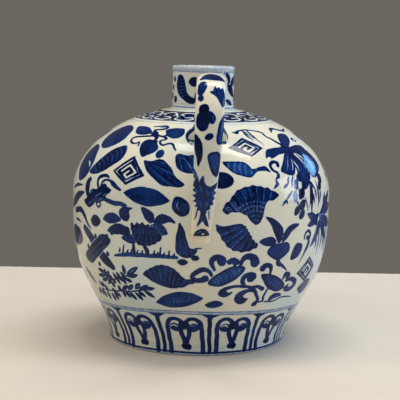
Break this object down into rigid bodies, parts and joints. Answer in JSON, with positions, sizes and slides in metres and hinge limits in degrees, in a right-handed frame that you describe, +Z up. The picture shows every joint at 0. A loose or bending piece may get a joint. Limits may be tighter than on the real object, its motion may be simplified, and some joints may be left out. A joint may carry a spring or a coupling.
{
  "type": "porcelain ewer",
  "caption": "Blue-and-white porcelain ewer: broad rounded body on a foot ring, short straight neck, loop strap handle and a curved pouring spout.",
  "frame": {"origin": "centre of the foot ring's underside, on the axis of the turned body", "axes": "+Z up along the body's axis, +Y towards the spout, -Y towards the handle, +X to the right when the handle faces the viewer"},
  "size_m": [0.2386, 0.3197, 0.2533],
  "materials": {
    "glaze": "glossy clear glaze over cobalt painting on white porcelain",
    "handle_glaze": "glossy clear glaze over dense cobalt painting",
    "bare_porcelain": "unglazed, matt, burnt slightly orange"
  },
  "bodies": {
    "root": {"mouth_rim": "glaze", "neck": "glaze", "neck_collar": "glaze", "upper_body": "glaze", "lower_body": "glaze", "base_disc": "bare_porcelain", "foot_ring": "bare_porcelain", "handle_root": "handle_glaze", "handle_loop": "handle_glaze", "handle_tail": "handle_glaze", "spout_root": "glaze", "spout": "glaze", "spout_lip": "glaze"}
  },
  "joints": []
}
